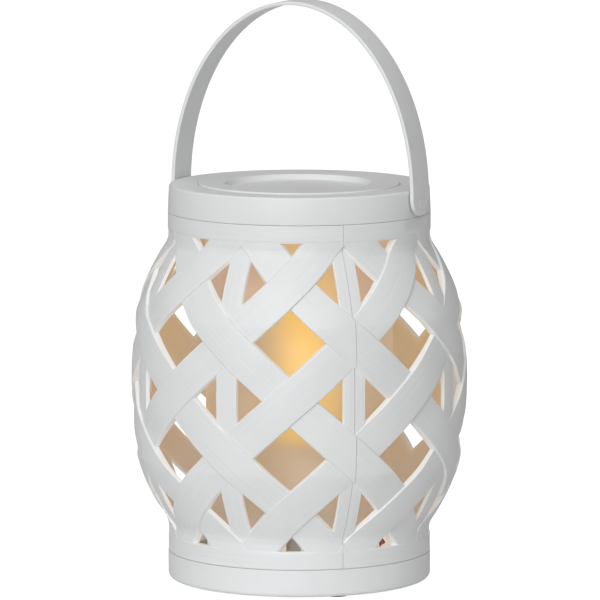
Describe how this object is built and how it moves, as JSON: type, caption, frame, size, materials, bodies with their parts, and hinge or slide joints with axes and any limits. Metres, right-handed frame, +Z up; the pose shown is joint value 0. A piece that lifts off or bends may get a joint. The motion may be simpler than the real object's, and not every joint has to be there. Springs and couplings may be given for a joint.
{
  "type": "flame-effect lantern",
  "caption": "Battery lantern with a woven lattice barrel, frosted inner cylinder with a flame-like glow, dished lift-off lid and swinging strap bail.",
  "frame": {"origin": "centre of the plane that the rubber feet stand on", "axes": "+Z up; X along the bail's hinge axis; -Y towards the switch side"},
  "size_m": [0.142, 0.142, 0.2453],
  "materials": {
    "white_plastic": "satin, fine streaks along the strips",
    "cap_plastic": "satin",
    "bail_plastic": "satin, fine streaks along the strap",
    "frosted_plastic": "frosted, translucent, lit from inside",
    "rubber": "matte",
    "zinc_steel": "zinc plated",
    "inner_plastic": "plain moulded",
    "door_plastic": "plain moulded",
    "cell_sleeve": "printed film without lettering",
    "spring_steel": "nickel plated",
    "switch_plastic": "plain moulded",
    "board_laminate": "solder mask",
    "component_plastic": "moulded epoxy",
    "led_resin": "clear warm resin, lit",
    "flame_resin": "amber translucent, lit",
    "red_insulation": "vinyl",
    "black_insulation": "vinyl",
    "grey_insulation": "vinyl"
  },
  "bodies": {
    "lantern": {"base_tray": "white_plastic", "shell_panel_front": "white_plastic", "shell_panel_right": "white_plastic", "shell_panel_back": "white_plastic", "shell_panel_left": "white_plastic", "cap_ring": "cap_plastic", "pivot_pin_right": "bail_plastic", "pivot_pin_left": "bail_plastic", "pin_washers": "zinc_steel", "rubber_feet": "rubber", "base_screws": "zinc_steel", "cap_screws": "zinc_steel", "seat_screws": "zinc_steel", "battery_box": "inner_plastic", "battery_1": "cell_sleeve", "battery_2": "cell_sleeve", "battery_3": "cell_sleeve", "contact_springs": "spring_steel", "contact_plates": "spring_steel", "switch_body": "switch_plastic", "light_seat": "inner_plastic", "diffuser": "frosted_plastic", "led_board": "board_laminate", "board_parts": "component_plastic", "light_post": "inner_plastic", "flame_leds": "led_resin", "flame_lens": "flame_resin", "wire_red": "red_insulation", "wire_black": "black_insulation", "wire_switch": "grey_insulation"},
    "lid": {"lid": "cap_plastic"},
    "bail": {"bail_handle": "bail_plastic"},
    "battery_door": {"battery_door": "door_plastic", "door_screw": "zinc_steel"},
    "switch_knob": {"switch_knob": "switch_plastic"}
  },
  "joints": [
    {"name": "bail_swing", "type": "hinge", "parent": "lantern", "child": "bail", "pos_m": [0, 0, 0.1618], "axis": [1, 0, 0], "range_deg": [-100, 100]},
    {"name": "lid_lift", "type": "slide", "parent": "lantern", "child": "lid", "axis": [0, 0, 1], "range_m": [0, 0.03]},
    {"name": "door_swing", "type": "hinge", "parent": "lantern", "child": "battery_door", "pos_m": [-0.028, 0, 0.0043], "axis": [0, 1, 0], "range_deg": [0, 100]},
    {"name": "switch_travel", "type": "slide", "parent": "lantern", "child": "switch_knob", "axis": [1, 0, 0], "range_m": [-0.002, 0.002]}
  ]
}
